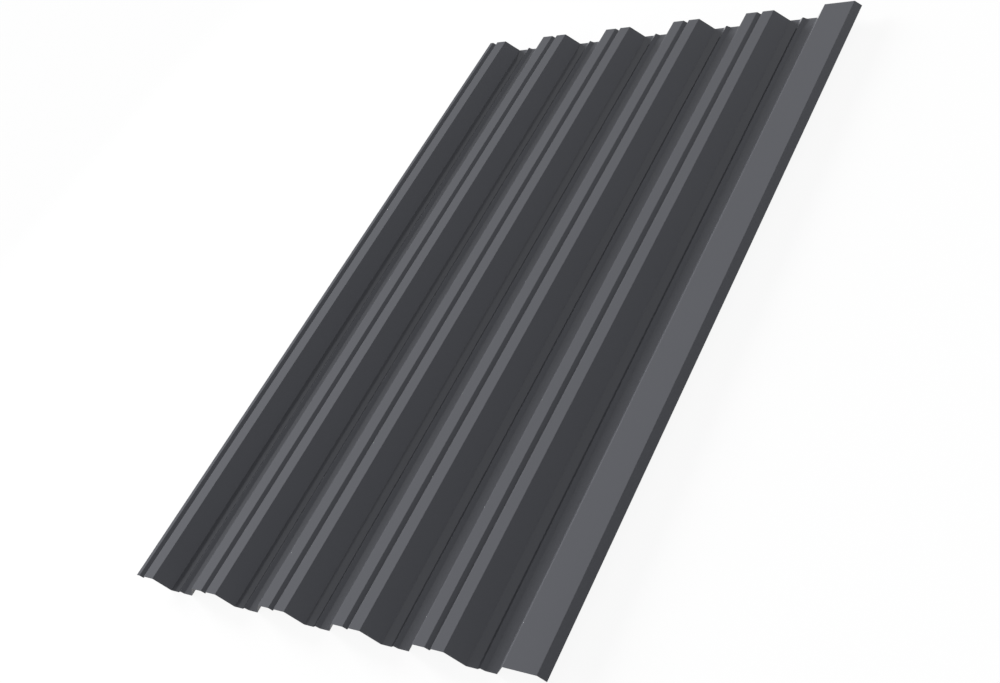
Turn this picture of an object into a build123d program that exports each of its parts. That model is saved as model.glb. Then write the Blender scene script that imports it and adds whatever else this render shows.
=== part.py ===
"""Trapezoidal profiled steel sheet, roll-formed from one strip of coated steel.

Six crests stand at a regular pitch across the sheet. Each crest but the last has a V groove
rolled down its middle, and each valley has a V rib, which stiffen the flat flanges. The first
crest is cut short at the sheet's left edge, and the last one ends in a lip turned down over
the neighbouring sheet. Millimetres, +Z up. The sheet lies on its valleys with its length
along Y, and the origin is the middle of its footprint.
"""

import os

from build123d import *

# Coated strip
thickness = 0.7
bend_radius = 2.0  # inside radius of each bend

# Sheet
sheet_length = 1750.0
crest_count = 6
pitch = 200.0
profile_height = 35.0  # from the valley's painted face up to the crest's

# Crests and the webs that carry them, between sharp corners of the painted face
crest_width = 72.5
web_run = 30.0
groove_width = 14.5
groove_depth = 7.0

# Valleys
rib_width = 17.5
rib_height = 5.5

# Edges
edge_strip = 8.8  # flat left of the first crest's groove
lip_run = 13.0
lip_drop = 15.0

# Places worked out from the sizes
crest_half = crest_width / 2
last_crest_x = (crest_count - 1) * pitch
left_edge_x = -groove_width / 2 - edge_strip
right_edge_x = last_crest_x + crest_half + lip_run
middle_x = (left_edge_x + right_edge_x) / 2
crest_z = thickness + profile_height
valley_z = thickness


def groove_corners(x):
    """Corners of the V groove down the middle of a crest centred at x."""
    return [
        (x - groove_width / 2, crest_z),
        (x, crest_z - groove_depth),
        (x + groove_width / 2, crest_z),
    ]


def valley_corners(x):
    """Corners of the web, valley, rib and next web that follow a crest centred at x."""
    rib_x = x + pitch / 2
    return [
        (x + crest_half, crest_z),
        (x + crest_half + web_run, valley_z),
        (rib_x - rib_width / 2, valley_z),
        (rib_x, valley_z + rib_height),
        (rib_x + rib_width / 2, valley_z),
        (x + pitch - crest_half - web_run, valley_z),
        (x + pitch - crest_half, crest_z),
    ]


def painted_face_corners():
    """Sharp corners of the painted face, from the left edge to the tip of the right lip."""
    corners = [(left_edge_x, crest_z)]
    for crest in range(crest_count - 1):
        corners += groove_corners(crest * pitch)
        corners += valley_corners(crest * pitch)
    corners.append((last_crest_x + crest_half, crest_z))
    corners.append((right_edge_x, crest_z - lip_drop))
    return [(x - middle_x, z) for x, z in corners]


def bend_radii(corners):
    """Radius of the painted face at each bend: the outside of the bend is one thickness larger."""
    radii = []
    for before, bend, after in zip(corners, corners[1:], corners[2:]):
        turn = (bend[0] - before[0]) * (after[1] - bend[1]) - (bend[1] - before[1]) * (after[0] - bend[0])
        radii.append(bend_radius + thickness if turn < 0 else bend_radius)
    return radii


os.makedirs("parts", exist_ok=True)
corners = painted_face_corners()

# The strip's section is the painted face's line, thickened downwards, and rolled along Y.
with BuildPart() as profiled_sheet:
    with BuildSketch(Plane.XZ.offset(-sheet_length / 2)) as section:
        with BuildLine():
            FilletPolyline(*corners, radius=bend_radii(corners))
            offset(amount=thickness, side=Side.RIGHT)
        make_face()
    extrude(amount=sheet_length)

profiled_sheet.part.label = "profiled_sheet"
export_step(profiled_sheet.part, "parts/profiled_sheet.step")
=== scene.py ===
"""Trapezoidal profiled steel sheet, dressed for a studio picture.

The sheet is one strip of colour-coated steel, rolled to its profile. Its painted face, back face
and cut edges are worked out here from the profile's sizes, in metres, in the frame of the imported
model, and the result stands for the CAD node.
"""

import math

import bpy
import numpy as np
from bpy.props import FloatProperty, FloatVectorProperty, IntProperty, PointerProperty
from mathutils import Matrix, Vector


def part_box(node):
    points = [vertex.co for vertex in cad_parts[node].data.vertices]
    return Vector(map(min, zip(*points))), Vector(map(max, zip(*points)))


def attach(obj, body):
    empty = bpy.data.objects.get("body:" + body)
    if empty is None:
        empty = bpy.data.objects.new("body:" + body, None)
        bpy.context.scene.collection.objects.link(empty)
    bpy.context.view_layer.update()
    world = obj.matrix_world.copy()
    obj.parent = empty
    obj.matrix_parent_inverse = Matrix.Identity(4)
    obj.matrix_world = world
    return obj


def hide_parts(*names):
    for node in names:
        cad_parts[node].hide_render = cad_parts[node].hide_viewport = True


bl_info = {
    "name": "Profiled Steel Sheet",
    "version": (1, 0, 0),
    "blender": (4, 5, 0),
    "location": "3D View > Sidebar > Sheet",
    "description": "Builds a trapezoidal profiled steel sheet with its coats, cut edges and studio",
    "category": "Object",
}

BODY = "root"
NODE = "profiled_sheet"
SHEET = "coated_sheet"
MM = 0.001

# The sheet's mesh
BEND_STEPS = 8  # faces round each bend
ROWS = 24  # lines of points along the sheet

# The floor
FLOOR_HALF = 30.0
FLOOR_GAP = 0.2 * MM  # keeps the floor clear of the valleys' undersides

# Colours and strengths of the studio
WHITE = (1.0, 1.0, 1.0, 1.0)
FLOOR_GREY = (0.55, 0.55, 0.55, 1.0)
STUDIO_TINT = (0.96, 0.973, 1.0, 1.0)
FLOOR_WHITE_SEEN = 0.92  # share of plain white that the camera sees, the rest keeps the shadow
FLOOR_WHITE_REFLECTED = 0.95

# Ways in which the studio's reflections change
FAR_LEFT = (-0.785, 0.62, 0.0)
PANEL_EDGE = (0.78, 0.177, 0.6)
CEILING = (0.743, 0.0, 0.669)

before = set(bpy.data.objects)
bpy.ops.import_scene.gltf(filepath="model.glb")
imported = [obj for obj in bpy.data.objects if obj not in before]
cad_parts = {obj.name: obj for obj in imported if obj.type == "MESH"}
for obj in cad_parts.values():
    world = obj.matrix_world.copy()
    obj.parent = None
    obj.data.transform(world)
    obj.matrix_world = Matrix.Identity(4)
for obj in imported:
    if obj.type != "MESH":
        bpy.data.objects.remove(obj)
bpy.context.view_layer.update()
LOW, HIGH = (Vector(corner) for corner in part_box(NODE))


# Shader expressions

class Nodes:
    """Adds nodes to one material's or world's node tree."""

    def __init__(self, tree):
        self.tree = tree
        tree.nodes.clear()

    def add(self, kind, values=None, output=0, **settings):
        """Adds a node, sets its settings, then its sockets, and returns one of its outputs."""
        node = self.tree.nodes.new(kind)
        for name, value in settings.items():
            setattr(node, name, value)
        for name, value in (values or {}).items():
            socket = node.inputs[name]
            if isinstance(value, Value):
                self.tree.links.new(value.socket, socket)
            else:
                socket.default_value = value
        return Value(self, node.outputs[output]) if node.outputs else None

    def mix_colour(self, factor, one, other):
        """Colour one where factor is 0, colour other where it is 1."""
        colours = {0: factor, 6: one, 7: other}
        return self.add("ShaderNodeMix", colours, output=2, data_type="RGBA")

    def ray(self, kind):
        """1 for rays of this kind, such as Is Camera Ray, and 0 for the others."""
        return self.add("ShaderNodeLightPath", output=kind)

    def noise(self, scale, detail):
        """Noise between 0 and 1, fixed to the object."""
        place = self.add("ShaderNodeTexCoord", output="Object")
        return self.add("ShaderNodeTexNoise", {"Vector": place, "Scale": scale, "Detail": detail})


class Value:
    """A node's output. Numbers combine through Math nodes with Python's operators."""

    def __init__(self, nodes, socket):
        self.nodes = nodes
        self.socket = socket

    def math(self, operation, *others):
        """This number and the others through one Math node."""
        values = dict(enumerate((self, *others)))
        return self.nodes.add("ShaderNodeMath", values, operation=operation)

    def __add__(self, other):
        return self.math("ADD", other)

    __radd__ = __add__

    def __mul__(self, other):
        return self.math("MULTIPLY", other)

    __rmul__ = __mul__

    def __sub__(self, other):
        return self.math("SUBTRACT", other)

    def __rsub__(self, other):
        return (self * -1.0) + other

    def larger(self, other):
        """The larger of this number and the other."""
        return self.math("MAXIMUM", other)


# Section and surface

def section_corners(sizes):
    """Sharp corners of the painted face as an (n, 2) array of x and z.

    One crest's run of corners, from its groove to the next crest's left edge, is repeated at the
    pitch by adding crest number times pitch to its x. The left edge goes before the first run,
    and the last crest's right edge and lip go after the last.
    """
    crest = sizes.profile_height + sizes.thickness
    valley = sizes.thickness
    half, web = sizes.crest_width / 2, sizes.web_run
    groove, rib = sizes.groove_width / 2, sizes.rib_width / 2
    middle = sizes.pitch / 2
    run = np.array([
        (-groove, crest),
        (0.0, crest - sizes.groove_depth),
        (groove, crest),
        (half, crest),
        (half + web, valley),
        (middle - rib, valley),
        (middle, valley + sizes.rib_height),
        (middle + rib, valley),
        (sizes.pitch - half - web, valley),
        (sizes.pitch - half, crest),
    ])
    steps = np.arange(sizes.crest_count - 1) * sizes.pitch
    runs = run[None, :, :] + np.stack([steps, np.zeros_like(steps)], axis=1)[:, None, :]
    last = (sizes.crest_count - 1) * sizes.pitch + half
    start = [(-groove - sizes.edge_strip, crest)]
    end = [(last, crest), (last + sizes.lip_run, crest - sizes.lip_drop)]
    corners = np.concatenate([start, runs.reshape(-1, 2), end])
    corners[:, 0] -= (corners[0, 0] + corners[-1, 0]) / 2
    return corners


def bent_line(corners, inside, thickness):
    """Points and normals of the painted face's line, with an arc at each bend.

    An arc starts radius * tan(turn / 2) before its corner, and its centre lies one radius to the
    side that the line turns to. Each point on it is the centre plus the radius times the normal
    turned by a share of the bend's angle. The radius is the inside radius where the painted face
    is on the inside of the bend, and one thickness more where it is on the outside.
    """
    runs = np.diff(corners, axis=0)
    along = runs / np.linalg.norm(runs, axis=1, keepdims=True)
    before, after = along[:-1], along[1:]
    sine = before[:, 0] * after[:, 1] - before[:, 1] * after[:, 0]
    turn = np.arctan2(sine, (before * after).sum(1))
    radius = np.where(turn < 0, inside + thickness, inside)
    side = np.sign(turn)
    start = corners[1:-1] - before * (radius * np.tan(np.abs(turn) / 2))[:, None]
    left = np.stack([-before[:, 1], before[:, 0]], axis=1)
    centre = start + left * (side * radius)[:, None]
    share = np.linspace(0.0, 1.0, BEND_STEPS + 1)
    angle = np.arctan2(left[:, 1], left[:, 0])[:, None] + turn[:, None] * share
    normals = np.stack([np.cos(angle), np.sin(angle)], axis=2)
    points = centre[:, None, :] - normals * (side * radius)[:, None, None]
    ends = np.stack([-along[[0, -1], 1], along[[0, -1], 0]], axis=1)
    line = np.concatenate([corners[:1], points.reshape(-1, 2), corners[-1:]])
    facing = np.concatenate([ends[:1], normals.reshape(-1, 2), ends[1:]])
    return line, facing


def strip_mesh(name, line, facing, thickness, low, high):
    """A closed strip: the line carried along Y, its copy one thickness behind, and the four edges.

    Point (i, j) of the painted face is the line's point i at row j's y, and the back face's is
    the same less thickness times the normal. Every face's corners get their true normal, so that
    flats stay flat and bends turn evenly. U runs along the line and V along the sheet, in metres.
    """
    count = len(line)
    y = np.linspace(low, high, ROWS)
    shells = np.stack([line, line - facing * thickness])
    points = np.empty((2, ROWS, count, 3))
    points[..., 0] = shells[:, None, :, 0]
    points[..., 1] = y[None, :, None]
    points[..., 2] = shells[:, None, :, 1]
    top, back = np.arange(2 * ROWS * count).reshape(2, ROWS, count)
    lengths = np.linalg.norm(np.diff(line, axis=0), axis=1)
    travel = np.concatenate([[0.0], np.cumsum(lengths)])
    outward = np.stack([facing[:, 0], np.zeros(count), facing[:, 1]], axis=1)
    faces, normals, slots, u, v = [], [], [], [], []

    def put(corners, forward, slot, normal_of, u_of, v_of):
        """Adds a grid of faces, and looks up their corners' normals, U and V by point number."""
        order = corners if forward else corners[::-1]
        quads = np.stack(order, axis=-1).reshape(-1, 4)
        faces.append(quads)
        slots.append(np.full(len(quads), slot))
        normals.append(np.broadcast_to(normal_of(quads), (*quads.shape, 3)).reshape(-1, 3))
        u.append(u_of(quads).ravel())
        v.append(v_of(quads).ravel())

    def along_line(quads):
        return travel[quads % count]

    def along_sheet(quads):
        return y[(quads // count) % ROWS]

    def through_strip(quads):
        return np.where(quads >= ROWS * count, 1.0, 0.0)

    for slot, (shell, sign) in enumerate(((top, 1.0), (back, -1.0))):
        corners = (shell[:-1, :-1], shell[:-1, 1:], shell[1:, 1:], shell[1:, :-1])
        put(corners, sign > 0, slot, lambda quads: sign * outward[quads % count],
            along_line, along_sheet)
    for row, sign in ((0, -1.0), (-1, 1.0)):
        corners = (top[row, :-1], back[row, :-1], back[row, 1:], top[row, 1:])
        put(corners, sign < 0, 2, lambda quads: (0.0, sign, 0.0), along_line, through_strip)
    for column, sign in ((0, -1.0), (-1, 1.0)):
        corners = (top[:-1, column], top[1:, column], back[1:, column], back[:-1, column])
        edge = (sign * facing[column, 1], 0.0, -sign * facing[column, 0])
        put(corners, sign < 0, 2, lambda quads: edge, along_sheet, through_strip)

    quads = np.concatenate(faces)
    mesh = bpy.data.meshes.new(name)
    mesh.from_pydata(points.reshape(-1, 3).tolist(), [], quads.tolist())
    mesh.polygons.foreach_set("material_index", np.concatenate(slots).astype(np.int32))
    mesh.polygons.foreach_set("use_smooth", np.ones(len(quads), dtype=bool))
    layer = mesh.uv_layers.new(name="strip")
    layer.data.foreach_set("uv", np.stack([np.concatenate(u), np.concatenate(v)], axis=1).ravel())
    mesh.normals_split_custom_set(np.concatenate(normals).tolist())
    mesh.update()
    return mesh


# Finishes

def finish_material(name):
    """A new material with an empty node tree."""
    material = bpy.data.materials.new(name)
    material.use_nodes = True
    return material, Nodes(material.node_tree)


def clouded(nodes, noise, colour, change):
    """A colour that the noise turns towards itself times change."""
    changed = tuple(part * change for part in colour)
    return nodes.mix_colour(noise, (*colour, 1.0), (*changed, 1.0))


def top_coat(colours):
    """Satin colour coat: nearly even colour, fine leather-like texture, soft gloss."""
    material, nodes = finish_material("top_coat")
    cloud = nodes.noise(scale=3.0, detail=2.0)
    grain = nodes.noise(scale=900.0, detail=2.0)
    bump = nodes.add("ShaderNodeBump", {"Height": grain, "Strength": 0.02, "Distance": 0.2 * MM})
    shader = nodes.add("ShaderNodeBsdfPrincipled", {
        "Base Color": clouded(nodes, cloud, colours.coat, 1.05),
        "Roughness": colours.coat_roughness + (grain - 0.5) * 0.03,
        "Specular IOR Level": colours.coat_specular,
        "Specular Tint": (0.92, 0.935, 1.0, 1.0),
        "Normal": bump,
    })
    nodes.add("ShaderNodeOutputMaterial", {"Surface": shader})
    return material


def back_coat(colours):
    """Thin matt backing coat."""
    material, nodes = finish_material("back_coat")
    cloud = nodes.noise(scale=12.0, detail=4.0)
    shader = nodes.add("ShaderNodeBsdfPrincipled", {
        "Base Color": clouded(nodes, cloud, colours.back, 0.9),
        "Roughness": 0.55,
        "Specular IOR Level": 0.4,
    })
    nodes.add("ShaderNodeOutputMaterial", {"Surface": shader})
    return material


def cut_edge(colours):
    """Sheared galvanised steel, with a colour far darker than bare steel that paints in the shade
    along the cut edges.
    """
    material, nodes = finish_material("cut_edge")
    streak = nodes.noise(scale=400.0, detail=3.0)
    shader = nodes.add("ShaderNodeBsdfPrincipled", {
        # Painted shade: the cut edges' dark colour stands in for the shade that falls along them.
        "Base Color": (*colours.steel, 1.0),
        "Metallic": 1.0,
        "Roughness": 0.35 + streak * 0.2,
    })
    nodes.add("ShaderNodeOutputMaterial", {"Surface": shader})
    return material


# Sizes and colours that a user would change

class SheetSizes(bpy.types.PropertyGroup):
    """Sizes of the rolled strip and its profile."""

    thickness: FloatProperty(
        name="Thickness", description="Thickness of the strip",
        default=0.7 * MM, unit="LENGTH")
    bend_radius: FloatProperty(
        name="Bend radius", description="Inside radius of each bend",
        default=1.0 * MM, unit="LENGTH")
    crest_count: IntProperty(
        name="Crests", description="Number of crests across the sheet",
        default=6)
    pitch: FloatProperty(
        name="Pitch", description="Distance from crest to crest",
        default=200.0 * MM, unit="LENGTH")
    profile_height: FloatProperty(
        name="Height", description="From valley face to crest face",
        default=35.0 * MM, unit="LENGTH")
    crest_width: FloatProperty(
        name="Crest width", description="Flat width of a crest",
        default=72.5 * MM, unit="LENGTH")
    web_run: FloatProperty(
        name="Web run", description="Width that a web covers",
        default=30.0 * MM, unit="LENGTH")
    groove_width: FloatProperty(
        name="Groove width", description="Width of a crest's groove",
        default=14.5 * MM, unit="LENGTH")
    groove_depth: FloatProperty(
        name="Groove depth", description="Depth of a crest's groove",
        default=7.0 * MM, unit="LENGTH")
    rib_width: FloatProperty(
        name="Rib width", description="Width of a valley's rib",
        default=17.5 * MM, unit="LENGTH")
    rib_height: FloatProperty(
        name="Rib height", description="Height of a valley's rib",
        default=5.5 * MM, unit="LENGTH")
    edge_strip: FloatProperty(
        name="Edge strip", description="Flat left of the first groove",
        default=8.8 * MM, unit="LENGTH")
    lip_run: FloatProperty(
        name="Lip run", description="Width that the lip covers",
        default=13.0 * MM, unit="LENGTH")
    lip_drop: FloatProperty(
        name="Lip drop", description="Height that the lip comes down",
        default=15.0 * MM, unit="LENGTH")


class SheetFinish(bpy.types.PropertyGroup):
    """Colours and gloss of the sheet."""

    coat: FloatVectorProperty(
        name="Top coat", description="Colour of the painted face",
        default=(0.0955, 0.0975, 0.1075), subtype="COLOR", size=3)
    back: FloatVectorProperty(
        name="Back coat", description="Colour of the back face",
        default=(0.11, 0.112, 0.12), subtype="COLOR", size=3)
    # The cut edges' colour is darker than bare steel: painted shade along the thin edges.
    steel: FloatVectorProperty(
        name="Steel", description="Colour of the cut edges",
        default=(0.08, 0.08, 0.085), subtype="COLOR", size=3)
    coat_roughness: FloatProperty(
        name="Coat roughness", description="Roughness of the painted face",
        default=0.1, min=0.0, max=1.0)
    coat_specular: FloatProperty(
        name="Coat specular", description="Specular level of the painted face",
        default=0.34, min=0.0, max=1.0)


class StudioSettings(bpy.types.PropertyGroup):
    """Camera and light."""

    camera_place: FloatVectorProperty(
        name="Camera place", description="Where the camera stands",
        default=(1.817196, -1.603492, 1.8116), subtype="TRANSLATION", size=3)
    camera_aim: FloatVectorProperty(
        name="Camera aim", description="Point that the camera looks at",
        default=(-0.116006, -0.094487, 0.0357), subtype="TRANSLATION", size=3)
    camera_roll: FloatProperty(
        name="Camera roll", description="Turn about the line of sight",
        default=math.radians(-34.504163), subtype="ANGLE")
    lens: FloatProperty(
        name="Lens", description="Focal length on a 36 mm wide sensor, in millimetres",
        default=49.1109)
    lens_shift: FloatVectorProperty(
        name="Lens shift", description="Small shift of the picture, in widths",
        default=(0.0495, -0.033), size=2)
    fill: FloatProperty(
        name="Fill", description="Strength of the even light from all round",
        default=0.322)
    key_strength: FloatProperty(
        name="Key strength", description="Strength of the large light on the left",
        default=7.4)
    key_spread: FloatProperty(
        name="Key spread", description="Angle that the large light covers",
        default=math.radians(19.7), subtype="ANGLE")
    key_rise: FloatProperty(
        name="Key rise", description="Angle of the large light above the floor",
        default=math.radians(13.75), subtype="ANGLE")
    key_swing: FloatProperty(
        name="Key swing", description="Turn of the large light towards the far end",
        default=math.radians(22.0), subtype="ANGLE")
    lamp_power: FloatProperty(
        name="Lamp power", description="Power of the long lamp on the left",
        default=24.0)
    lamp_place: FloatVectorProperty(
        name="Lamp place", description="Where the long lamp's middle is",
        default=(-1.82, -0.65, 0.84), subtype="TRANSLATION", size=3)
    lamp_size: FloatVectorProperty(
        name="Lamp size", description="Length and height of the long lamp",
        default=(3.4, 0.2), unit="LENGTH", size=2)
    lamp_slope: FloatProperty(
        name="Lamp slope", description="Fall of the long lamp towards the far end, for each metre",
        default=0.15)


def link_object(name, data):
    """A new object with this data, in the scene."""
    item = bpy.data.objects.new(name, data)
    bpy.context.collection.objects.link(item)
    return item


def rolled_sheet(settings):
    """The whole sheet as one object."""
    sizes = settings.sheet_sizes
    corners = section_corners(sizes)
    line, facing = bent_line(corners, sizes.bend_radius, sizes.thickness)
    mesh = strip_mesh(SHEET, line, facing, sizes.thickness, LOW.y, HIGH.y)
    for material in (top_coat, back_coat, cut_edge):
        mesh.materials.append(material(settings.sheet_finish))
    return link_object(SHEET, mesh)


# Studio

def add_floor():
    """A wide pale floor, plain white in reflections, and to the camera but for a light shadow."""
    mesh = bpy.data.meshes.new("floor")
    half, z = FLOOR_HALF, -FLOOR_GAP
    corners = [(-half, -half, z), (half, -half, z), (half, half, z), (-half, half, z)]
    mesh.from_pydata(corners, [], [(0, 1, 2, 3)])
    floor = link_object("floor", mesh)
    material, nodes = finish_material("floor")
    seen = nodes.ray("Is Camera Ray").larger(nodes.ray("Is Transmission Ray"))
    glossy = nodes.ray("Is Glossy Ray")
    lit = nodes.add("ShaderNodeBsdfDiffuse", {"Color": nodes.mix_colour(seen, FLOOR_GREY, WHITE)})
    plain = nodes.add("ShaderNodeEmission", {"Color": WHITE, "Strength": 1.0})
    share = (seen * FLOOR_WHITE_SEEN).larger(glossy * FLOOR_WHITE_REFLECTED)
    shader = nodes.add("ShaderNodeMixShader", {0: share, 1: lit, 2: plain})
    nodes.add("ShaderNodeOutputMaterial", {"Surface": shader})
    mesh.materials.append(material)


def fade(nodes, way, towards, ends, strengths, kind="SMOOTHSTEP"):
    """Strength that changes where the way's share towards a direction passes between two ends."""
    share = nodes.add("ShaderNodeVectorMath", {0: way, 1: towards}, output="Value",
                      operation="DOT_PRODUCT")
    values = {
        "Value": share,
        "From Min": ends[0],
        "From Max": ends[1],
        "To Min": strengths[0],
        "To Max": strengths[1],
    }
    return nodes.add("ShaderNodeMapRange", values, interpolation_type=kind)


def add_world(scene, fill):
    """White to the camera, a studio of pale panels in reflections, and an even fill elsewhere.

    In reflections the left of the studio is a panel that darkens towards the far left, is weaker
    beyond its slanting upper edge, and ends below a dark strip of ceiling that runs along the
    sheet. Right of the strip the studio is pale again.
    """
    world = bpy.data.worlds.new("studio")
    world.use_nodes = True
    nodes = Nodes(world.node_tree)
    seen = nodes.ray("Is Camera Ray").larger(nodes.ray("Is Transmission Ray"))
    glossy = nodes.ray("Is Glossy Ray")
    way = nodes.add("ShaderNodeTexCoord", output="Generated")
    distance = fade(nodes, way, FAR_LEFT, (0.68, 0.9), (1.0, 0.4), "LINEAR")
    panel = fade(nodes, way, PANEL_EDGE, (-0.04, 0.06), (1.0, 0.92))
    strip = fade(nodes, way, CEILING, (0.07, 0.17), (1.0, 0.05))
    right = fade(nodes, way, CEILING, (0.35, 0.6), (0.0, 1.0))
    reflected = glossy * (distance * panel * strip).larger(right)
    background = nodes.add("ShaderNodeBackground", {
        "Color": nodes.mix_colour(seen, STUDIO_TINT, WHITE),
        "Strength": seen.larger(reflected).larger(fill),
    })
    nodes.add("ShaderNodeOutputWorld", {"Surface": background})
    scene.world = world


def add_key(settings):
    """A large, soft, distant light low on the left and a little towards the far end."""
    light = bpy.data.lights.new("key", "SUN")
    light.angle = settings.key_spread
    light.energy = settings.key_strength
    key = link_object("key", light)
    rise, swing = settings.key_rise, settings.key_swing
    level = Vector((-math.cos(swing), math.sin(swing), 0.0))
    towards = level * math.cos(rise) + Vector((0.0, 0.0, math.sin(rise)))
    key.matrix_world = towards.to_track_quat("Z", "Y").to_matrix().to_4x4()
    key.visible_glossy = False


def add_lamp(settings):
    """A long lamp at the left, lower at its far end, which falls off across the sheet."""
    light = bpy.data.lights.new("lamp", "AREA")
    light.shape = "RECTANGLE"
    light.size, light.size_y = settings.lamp_size
    light.energy = settings.lamp_power
    lamp = link_object("lamp", light)
    place = Vector(settings.lamp_place)
    beam = Vector((place.x, 0.0, place.z))
    side = Vector((0.0, 1.0, -settings.lamp_slope)).normalized()
    upward = beam.cross(side).normalized()
    turn = Matrix((side, upward, side.cross(upward))).transposed().to_4x4()
    lamp.matrix_world = Matrix.Translation(place) @ turn
    lamp.visible_glossy = False


def add_camera(scene, settings):
    """The photograph's view: from the lip side near the front end, rolled clockwise."""
    lens = bpy.data.cameras.new("camera")
    lens.sensor_width = 36.0
    lens.sensor_fit = "HORIZONTAL"
    lens.lens = settings.lens
    lens.shift_x, lens.shift_y = settings.lens_shift
    camera = link_object("camera", lens)
    place, aim = Vector(settings.camera_place), Vector(settings.camera_aim)
    turn = (aim - place).to_track_quat("-Z", "Y").to_matrix().to_4x4()
    roll = Matrix.Rotation(settings.camera_roll, 4, "Z")
    camera.matrix_world = Matrix.Translation(place) @ turn @ roll
    scene.camera = camera


# Operators and panel

class SHEET_OT_roll(bpy.types.Operator):
    """Roll the sheet from its sizes and give it its coats"""

    bl_idname = "sheet.roll"
    bl_label = "Rolled sheet"

    def execute(self, context):
        sheet = rolled_sheet(context.scene)
        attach(sheet, BODY)
        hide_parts(NODE)
        return {"FINISHED"}


class SHEET_OT_studio(bpy.types.Operator):
    """Set up the floor, the light and the camera"""

    bl_idname = "sheet.studio"
    bl_label = "Studio"

    def execute(self, context):
        scene = context.scene
        settings = scene.studio_settings
        scene.view_settings.view_transform = "Standard"
        add_floor()
        add_world(scene, settings.fill)
        add_key(settings)
        add_lamp(settings)
        add_camera(scene, settings)
        return {"FINISHED"}


class SHEET_PT_panel(bpy.types.Panel):
    """Lists the sheet's operators and settings"""

    bl_idname = "SHEET_PT_panel"
    bl_label = "Profiled sheet"
    bl_space_type = "VIEW_3D"
    bl_region_type = "UI"
    bl_category = "Sheet"

    def draw(self, context):
        for name in GROUPS:
            group = getattr(context.scene, name)
            box = self.layout.box()
            for setting in group.__annotations__:
                box.prop(group, setting)
        for operator in (SHEET_OT_roll, SHEET_OT_studio):
            self.layout.operator(operator.bl_idname)


GROUPS = {
    "sheet_sizes": SheetSizes,
    "sheet_finish": SheetFinish,
    "studio_settings": StudioSettings,
}
CLASSES = (*GROUPS.values(), SHEET_OT_roll, SHEET_OT_studio, SHEET_PT_panel)


def register():
    for item in CLASSES:
        bpy.utils.register_class(item)
    for name, group in GROUPS.items():
        setattr(bpy.types.Scene, name, PointerProperty(type=group))


def unregister():
    for name in GROUPS:
        delattr(bpy.types.Scene, name)
    for item in reversed(CLASSES):
        bpy.utils.unregister_class(item)


def main():
    register()
    bpy.ops.sheet.roll()
    bpy.ops.sheet.studio()


if __name__ == "__main__":
    main()
